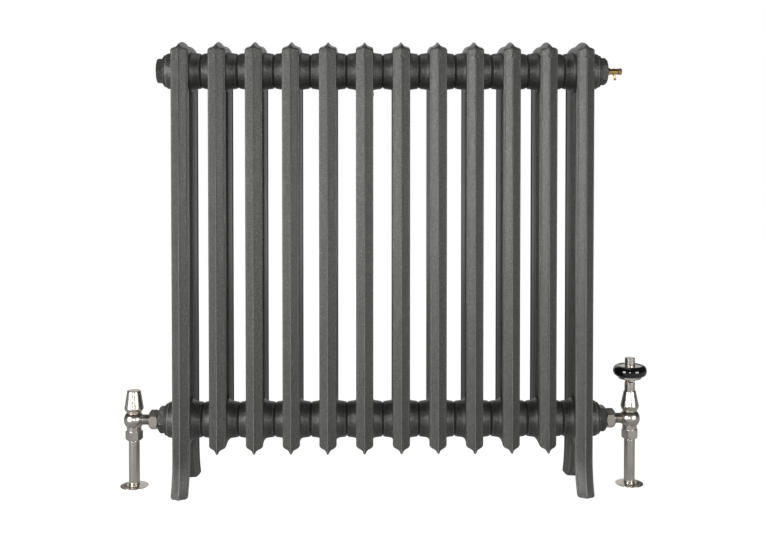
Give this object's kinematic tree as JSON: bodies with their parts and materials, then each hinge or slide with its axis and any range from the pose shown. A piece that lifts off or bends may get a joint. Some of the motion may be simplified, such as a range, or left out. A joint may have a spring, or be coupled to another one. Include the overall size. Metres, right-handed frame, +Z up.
{
  "type": "column radiator with valves",
  "caption": "Cast-iron column radiator on feet with an angle wheel valve, a capped lockshield valve and an air vent.",
  "frame": {"origin": "on the floor under the middle of the radiator body", "axes": "+X along the radiator from the lockshield valve to the wheel valve, front faces -Y, +Z up"},
  "size_m": [0.8852, 0.148, 0.7429],
  "materials": {
    "painted_iron": "dark pewter hammered paint on cast iron",
    "bare_iron": "machined malleable iron",
    "satin_nickel": "satin nickel plate on brass",
    "brass": "plain turned brass",
    "copper": "drawn copper tube",
    "black_wheel": "gloss black moulded",
    "seal": "rubber or fibre"
  },
  "bodies": {
    "radiator": {"air_vent_body": "brass", "air_vent_bush": "painted_iron", "blanking_plug": "painted_iron", "bush_gaskets": "seal", "hub_gaskets_bottom": "seal", "hub_gaskets_top": "seal", "hub_nipples_bottom": "bare_iron", "hub_nipples_top": "bare_iron", "left_compression_nut": "satin_nickel", "left_olive": "brass", "left_pipe": "copper", "left_pipe_sleeve": "satin_nickel", "left_union_nut": "satin_nickel", "left_union_tail": "satin_nickel", "left_valve_bush": "painted_iron", "lockshield_body": "satin_nickel", "lockshield_bonnet": "brass", "lockshield_gland_nut": "brass", "lockshield_packing": "seal", "right_compression_nut": "satin_nickel", "right_olive": "brass", "right_pipe": "copper", "right_pipe_sleeve": "satin_nickel", "right_union_nut": "satin_nickel", "right_union_tail": "satin_nickel", "right_valve_bush": "painted_iron", "section_01": "painted_iron", "section_02": "painted_iron", "section_03": "painted_iron", "section_04": "painted_iron", "section_05": "painted_iron", "section_06": "painted_iron", "section_07": "painted_iron", "section_08": "painted_iron", "section_09": "painted_iron", "section_10": "painted_iron", "section_11": "painted_iron", "section_12": "painted_iron", "wheel_valve_body": "satin_nickel", "wheel_valve_bonnet": "brass", "wheel_valve_crown": "satin_nickel", "wheel_valve_packing": "seal", "wheel_valve_shroud": "satin_nickel"},
    "lockshield_cap": {"lockshield_cap": "satin_nickel"},
    "lockshield_disc": {"lockshield_disc": "brass", "lockshield_washer": "seal"},
    "lockshield_spindle": {"lockshield_spindle": "brass"},
    "wheel_valve_disc": {"wheel_valve_disc": "brass", "wheel_valve_washer": "seal"},
    "handwheel": {"wheel_valve_spindle": "satin_nickel", "wheel_bottom_plate": "satin_nickel", "wheel_ring": "black_wheel", "wheel_top_plate": "satin_nickel", "wheel_knob": "satin_nickel"},
    "vent_needle": {"air_vent_needle": "brass"},
    "vent_knob": {"air_vent_knob": "brass"},
    "vent_spout": {"air_vent_spout": "brass"},
    "left_floor_plate": {"left_floor_plate": "satin_nickel"},
    "right_floor_plate": {"right_floor_plate": "satin_nickel"}
  },
  "joints": [
    {"name": "cap_lift", "type": "slide", "parent": "radiator", "child": "lockshield_cap", "axis": [0, 0, 1], "range_m": [0, 0.045]},
    {"name": "lockshield_rise", "type": "slide", "parent": "radiator", "child": "lockshield_disc", "axis": [0, 0, 1], "range_m": [0, 0.003]},
    {"name": "lockshield_turn", "type": "hinge", "parent": "lockshield_disc", "child": "lockshield_spindle", "pos_m": [-0.417, 0, 0.13], "axis": [0, 0, 1], "range_deg": [0, 720]},
    {"name": "wheel_rise", "type": "slide", "parent": "radiator", "child": "wheel_valve_disc", "axis": [0, 0, 1], "range_m": [0, 0.0045]},
    {"name": "wheel_turn", "type": "hinge", "parent": "wheel_valve_disc", "child": "handwheel", "pos_m": [0.417, 0, 0.192], "axis": [0, 0, 1], "range_deg": [0, 1080]},
    {"name": "vent_needle_out", "type": "slide", "parent": "radiator", "child": "vent_needle", "axis": [1, 0, 0], "range_m": [0, 0.0015]},
    {"name": "vent_knob_turn", "type": "hinge", "parent": "vent_needle", "child": "vent_knob", "pos_m": [0.396, 0, 0.695], "axis": [1, 0, 0], "range_deg": [0, 720]},
    {"name": "spout_swivel", "type": "hinge", "parent": "radiator", "child": "vent_spout", "pos_m": [0.387, 0, 0.695], "axis": [1, 0, 0], "continuous": true},
    {"name": "left_plate_lift", "type": "slide", "parent": "radiator", "child": "left_floor_plate", "axis": [0, 0, 1], "range_m": [0, 0.06]},
    {"name": "right_plate_lift", "type": "slide", "parent": "radiator", "child": "right_floor_plate", "axis": [0, 0, 1], "range_m": [0, 0.06]}
  ],
  "couplings": [
    {"joint": "lockshield_turn", "follows": "lockshield_rise", "rad_per_m": 4188.8},
    {"joint": "wheel_turn", "follows": "wheel_rise", "rad_per_m": 4188.8},
    {"joint": "vent_knob_turn", "follows": "vent_needle_out", "rad_per_m": 8377.6}
  ]
}
